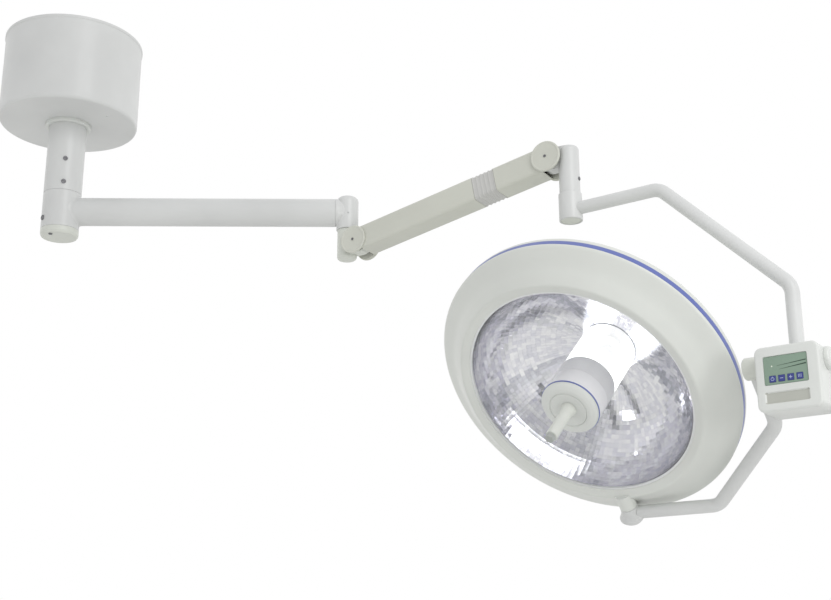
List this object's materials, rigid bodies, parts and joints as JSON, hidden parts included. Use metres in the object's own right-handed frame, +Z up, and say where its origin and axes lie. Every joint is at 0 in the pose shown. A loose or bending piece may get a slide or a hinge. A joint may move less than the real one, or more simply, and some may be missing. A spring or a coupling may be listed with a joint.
{
  "type": "ceiling-mounted operating light",
  "caption": "Ceiling operating light with canopy, drop column, horizontal arm, balanced spring arm, gimbal yokes, control box and one large round reflector head with a focus handle.",
  "frame": {"origin": "centre of the ceiling flange's top face, on the column's axis", "axes": "+Z up, out of the flange's top face; +X along the horizontal arm, away from the column"},
  "size_m": [1.8974, 0.8918, 1.286],
  "materials": {
    "enamel": "satin off-white powder coat",
    "knuckle_enamel": "satin ivory-grey powder coat",
    "casing": "satin ivory-grey moulding",
    "housing": "semi-gloss off-white moulding",
    "head_shell": "semi-gloss off-white moulding",
    "hub_white": "semi-gloss white moulding",
    "handle_white": "satin sterilisable plastic",
    "accent_blue": "satin blue moulding",
    "key_blue": "satin dark blue key",
    "fastener_steel": "zinc-plated steel",
    "spring_steel": "oiled spring steel",
    "spindle_steel": "turned steel",
    "frame_steel": "dark phosphated steel",
    "bearing_bronze": "turned bronze",
    "reflector_mirror": "faceted coated mirror",
    "clear_glass": "clear polished glass",
    "display": "grey-green printed foil"
  },
  "bodies": {
    "ceiling_base": {"column_tube": "enamel", "anchor_bolt_1": "fastener_steel", "anchor_bolt_2": "fastener_steel", "anchor_bolt_3": "fastener_steel", "anchor_bolt_4": "fastener_steel", "ceiling_canopy": "enamel", "canopy_collar": "housing", "column_screw_upper": "fastener_steel", "column_screw_lower": "fastener_steel", "main_spindle": "spindle_steel"},
    "horizontal_arm": {"arm_hub": "enamel", "hub_bearing": "bearing_bronze", "brake_screw": "fastener_steel", "hub_end_cap": "enamel", "hub_cap_screw": "fastener_steel", "arm_tube": "enamel", "end_hub": "enamel"},
    "swivel_knuckle": {"lower_knuckle": "knuckle_enamel", "lower_hinge_pin": "fastener_steel"},
    "spring_arm": {"arm_frame": "frame_steel", "balance_spring": "spring_steel", "spring_adjuster": "bearing_bronze", "arm_casing_long": "casing", "arm_casing_short": "casing", "ribbed_sleeve": "casing", "lower_cover": "casing", "lower_cover_screw": "fastener_steel", "upper_cover": "casing", "upper_cover_screw": "fastener_steel"},
    "levelling_link": {"levelling_rod": "fastener_steel"},
    "drop_post": {"post_knuckle": "enamel", "post_screw": "fastener_steel", "upper_hinge_pin": "fastener_steel"},
    "outer_yoke": {"yoke_sleeve": "enamel", "yoke_end_cap": "casing", "outer_yoke_tube": "enamel", "control_case": "housing", "control_frame": "housing", "display_window": "display", "side_cap": "housing"},
    "button_1": {"key_1": "key_blue"},
    "button_2": {"key_2": "key_blue"},
    "button_3": {"key_3": "key_blue"},
    "button_4": {"key_4": "key_blue"},
    "inner_yoke": {"yoke_stub": "enamel", "inner_yoke_tube": "enamel", "pivot_boss": "enamel"},
    "lamp_head": {"front_bezel": "head_shell", "accent_band": "accent_blue", "back_cover": "head_shell", "reflector": "reflector_mirror", "front_glass": "clear_glass", "hub_column": "hub_white", "hub_ring": "accent_blue", "hub_cap": "hub_white", "filter_cylinder": "clear_glass"},
    "handle": {"focus_handle": "handle_white"},
    "lamp_holder": {"lamp_carriage": "frame_steel", "lamp_bulb": "clear_glass"}
  },
  "joints": [
    {"name": "arm_swivel", "type": "hinge", "parent": "ceiling_base", "child": "horizontal_arm", "pos_m": [0, 0, -0.47], "axis": [0, 0, 1], "range_deg": [-165, 165]},
    {"name": "spring_arm_swivel", "type": "hinge", "parent": "horizontal_arm", "child": "swivel_knuckle", "pos_m": [0.732, 0, -0.47], "axis": [0, 0, 1], "range_deg": [-92, 158]},
    {"name": "spring_arm_pitch", "type": "hinge", "parent": "swivel_knuckle", "child": "spring_arm", "pos_m": [0.76776, -0.02388, -0.56], "axis": [0.5554, 0.8316, 0], "range_deg": [-5, 55]},
    {"name": "levelling_rod_turn", "type": "hinge", "parent": "swivel_knuckle", "child": "levelling_link", "pos_m": [0.76776, -0.02388, -0.537], "axis": [0.5554, 0.8316, 0], "range_deg": [-5, 55]},
    {"name": "post_level", "type": "hinge", "parent": "spring_arm", "child": "drop_post", "pos_m": [1.21871, -0.32509, -0.46243], "axis": [0.5554, 0.8316, 0], "range_deg": [-55, 5]},
    {"name": "yoke_swivel", "type": "hinge", "parent": "drop_post", "child": "outer_yoke", "pos_m": [1.25447, -0.34897, -0.47], "axis": [0, 0, 1], "range_deg": [-165, 165]},
    {"name": "inner_yoke_turn", "type": "hinge", "parent": "outer_yoke", "child": "inner_yoke", "pos_m": [1.58426, -0.59256, -1.023], "axis": [0.8044, -0.5941, 0], "range_deg": [-130, 130]},
    {"name": "head_tilt", "type": "hinge", "parent": "inner_yoke", "child": "lamp_head", "pos_m": [1.3931, -0.16127, -1.25635], "axis": [0.4201, 0.5688, -0.7071], "range_deg": [-150, 6]},
    {"name": "focus_turn", "type": "hinge", "parent": "lamp_head", "child": "handle", "pos_m": [1.20695, -0.40156, -1.09354], "axis": [0.4752, 0.526, 0.7054], "range_deg": [-90, 90]},
    {"name": "lamp_focus", "type": "slide", "parent": "lamp_head", "child": "lamp_holder", "axis": [0.4752, 0.526, 0.7054], "range_m": [-0.006, 0.006]},
    {"name": "button_1_press", "type": "slide", "parent": "outer_yoke", "child": "button_1", "axis": [0.5941, 0.8044, 0], "range_m": [0, 0.0006], "stiffness_N_per_m": 1500, "springref_m": -0.0003},
    {"name": "button_2_press", "type": "slide", "parent": "outer_yoke", "child": "button_2", "axis": [0.5941, 0.8044, 0], "range_m": [0, 0.0006], "stiffness_N_per_m": 1500, "springref_m": -0.0003},
    {"name": "button_3_press", "type": "slide", "parent": "outer_yoke", "child": "button_3", "axis": [0.5941, 0.8044, 0], "range_m": [0, 0.0006], "stiffness_N_per_m": 1500, "springref_m": -0.0003},
    {"name": "button_4_press", "type": "slide", "parent": "outer_yoke", "child": "button_4", "axis": [0.5941, 0.8044, 0], "range_m": [0, 0.0006], "stiffness_N_per_m": 1500, "springref_m": -0.0003}
  ],
  "couplings": [
    {"joint": "levelling_rod_turn", "follows": "spring_arm_pitch", "ratio": 1},
    {"joint": "post_level", "follows": "spring_arm_pitch", "ratio": -1},
    {"joint": "lamp_focus", "follows": "focus_turn", "m_per_rad": 0.00382}
  ]
}
